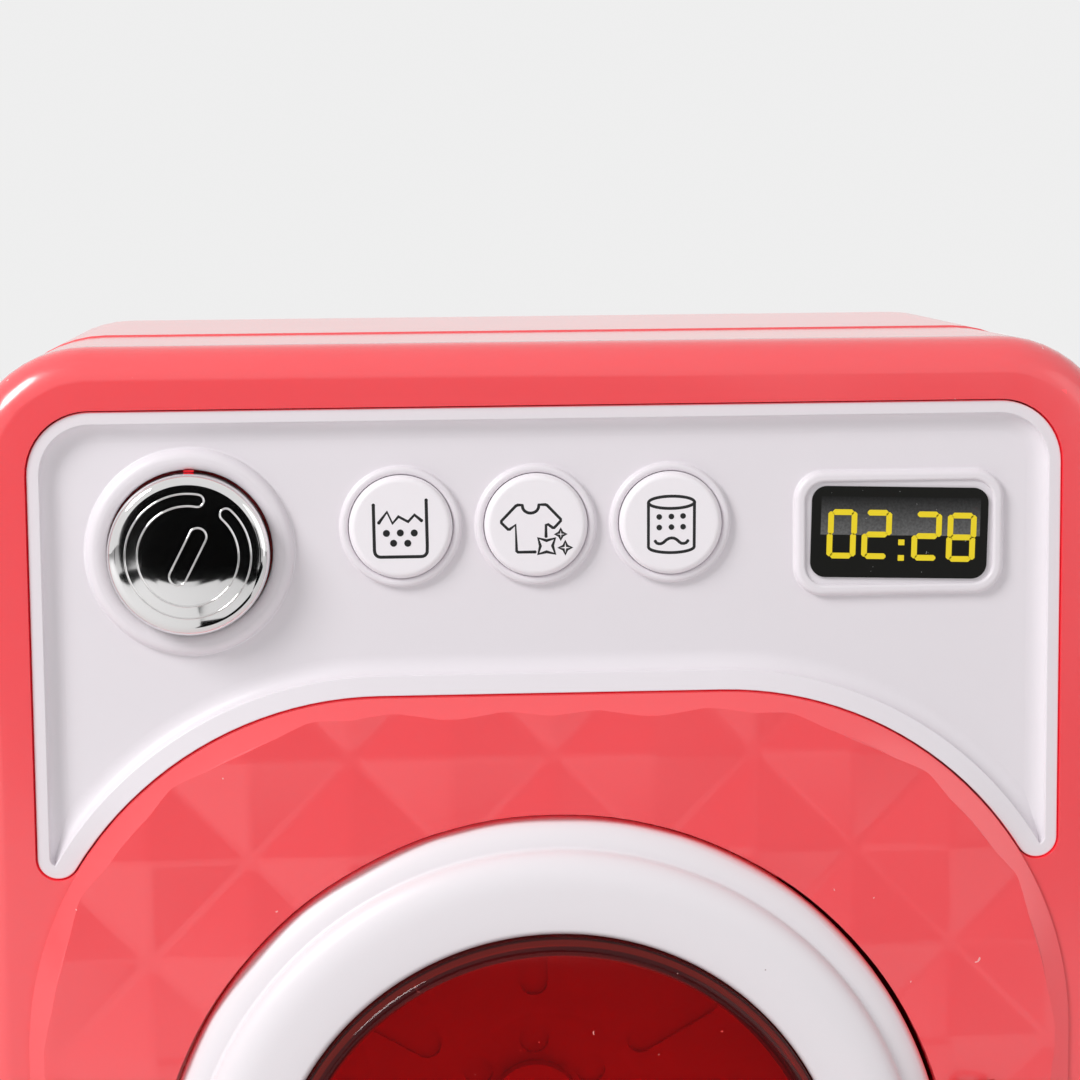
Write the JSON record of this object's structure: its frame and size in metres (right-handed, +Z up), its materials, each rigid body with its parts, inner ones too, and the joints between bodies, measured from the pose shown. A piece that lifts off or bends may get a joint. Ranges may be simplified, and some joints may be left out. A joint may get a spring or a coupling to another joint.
{
  "type": "toy washing machine",
  "caption": "Front-loading toy washing machine: round hinged door with red window over a turning drum, chrome power knob, three push buttons and a label display.",
  "frame": {"origin": "centre of the bounding box's bottom face, on the floor under the rubber feet", "axes": "+X to the toy's left as it faces the viewer, that is the viewer's right; +Y from the front face to the back; +Z up"},
  "size_m": [0.14, 0.086, 0.183],
  "materials": {
    "coral_abs": "injection-moulded, glossy",
    "white_abs": "injection-moulded, satin gloss",
    "inner_plastic": "plain natural moulding",
    "acetal": "self-lubricating",
    "chrome_knob": "vacuum-plated",
    "red_window": "transparent, polished",
    "drum_grey": "silver-grey plastic",
    "label_black": "printed label",
    "rubber_grey": "matt",
    "silicone": "matt",
    "steel": "zinc plated",
    "brass": "turned",
    "board_green": "solder mask",
    "black_plastic": "moulded",
    "cell_wrap": "shrink wrap"
  },
  "bodies": {
    "cabinet": {"front_shell": "coral_abs", "rear_shell": "coral_abs", "shell_screws": "steel", "feet": "rubber_grey", "control_panel": "white_abs", "panel_screws": "steel", "display_label": "label_black", "power_spring": "steel", "power_switch": "black_plastic", "wash_dome": "silicone", "clothes_dome": "silicone", "program_dome": "silicone", "circuit_board": "board_green", "board_screws": "steel", "sound_chip": "black_plastic", "hinge_pin": "steel", "door_catch": "steel", "front_bush": "brass", "rear_bush": "brass", "gearbox_plate": "inner_plastic", "gearbox_cover": "inner_plastic", "gearbox_screws": "steel", "gear_pins": "steel", "motor_can": "steel", "motor_endcap": "inner_plastic", "motor_clamp": "steel", "clamp_screws": "steel", "speaker": "black_plastic", "speaker_clamp": "inner_plastic", "speaker_screws": "steel", "battery_low": "cell_wrap", "battery_middle": "cell_wrap", "battery_high": "cell_wrap", "contact_plates": "steel", "contact_springs": "steel"},
    "door": {"door_ring": "white_abs", "door_window": "red_window", "door_back": "white_abs", "door_screws": "steel"},
    "plunger": {"power_plunger": "inner_plastic", "switch_pin": "inner_plastic"},
    "knob": {"power_knob": "chrome_knob", "knob_screw": "steel"},
    "wash_key": {"wash_button": "white_abs"},
    "clothes_key": {"clothes_button": "white_abs"},
    "program_key": {"program_button": "white_abs"},
    "drum_set": {"drum": "drum_grey", "drum_shaft": "steel", "drum_gear": "acetal", "shaft_clip": "steel"},
    "gear_two": {"second_gear": "acetal"},
    "gear_one": {"first_gear": "acetal"},
    "rotor": {"motor_shaft": "steel", "motor_pinion": "brass"},
    "bay_cover": {"battery_cover": "coral_abs", "cover_screw": "steel"}
  },
  "joints": [
    {"name": "door_swing", "type": "hinge", "parent": "cabinet", "child": "door", "pos_m": [0.05155, -0.03965, 0.0767], "axis": [0, 0, 1], "range_deg": [0, 110], "deforming": ["door_catch"]},
    {"name": "power_press", "type": "slide", "parent": "cabinet", "child": "plunger", "axis": [0, 1, 0], "range_m": [0, 0.0015], "stiffness_N_per_m": 600, "springref_m": -0.001, "deforming": ["power_spring"]},
    {"name": "knob_turn", "type": "hinge", "parent": "plunger", "child": "knob", "pos_m": [-0.0431, -0.03705, 0.1584], "axis": [0, 1, 0], "continuous": true},
    {"name": "wash_press", "type": "slide", "parent": "cabinet", "child": "wash_key", "axis": [0, 1, 0], "range_m": [0, 0.001], "stiffness_N_per_m": 500, "springref_m": -0.0005, "deforming": ["wash_dome"]},
    {"name": "clothes_press", "type": "slide", "parent": "cabinet", "child": "clothes_key", "axis": [0, 1, 0], "range_m": [0, 0.001], "stiffness_N_per_m": 500, "springref_m": -0.0005, "deforming": ["clothes_dome"]},
    {"name": "program_press", "type": "slide", "parent": "cabinet", "child": "program_key", "axis": [0, 1, 0], "range_m": [0, 0.001], "stiffness_N_per_m": 500, "springref_m": -0.0005, "deforming": ["program_dome"]},
    {"name": "drum_spin", "type": "hinge", "parent": "cabinet", "child": "drum_set", "pos_m": [0, -0.03705, 0.0767], "axis": [0, 1, 0], "continuous": true},
    {"name": "gear_two_spin", "type": "hinge", "parent": "cabinet", "child": "gear_two", "pos_m": [0, -0.03705, 0.0992], "axis": [0, 1, 0], "continuous": true},
    {"name": "gear_one_spin", "type": "hinge", "parent": "cabinet", "child": "gear_one", "pos_m": [0, -0.03705, 0.1142], "axis": [0, 1, 0], "continuous": true},
    {"name": "rotor_spin", "type": "hinge", "parent": "cabinet", "child": "rotor", "pos_m": [0, -0.03705, 0.1267], "axis": [0, 1, 0], "continuous": true},
    {"name": "bay_cover_pull", "type": "slide", "parent": "cabinet", "child": "bay_cover", "axis": [0, 1, 0], "range_m": [0, 0.02]}
  ],
  "couplings": [
    {"joint": "gear_two_spin", "follows": "drum_spin", "ratio": -4},
    {"joint": "gear_one_spin", "follows": "drum_spin", "ratio": 16},
    {"joint": "rotor_spin", "follows": "drum_spin", "ratio": -64}
  ]
}
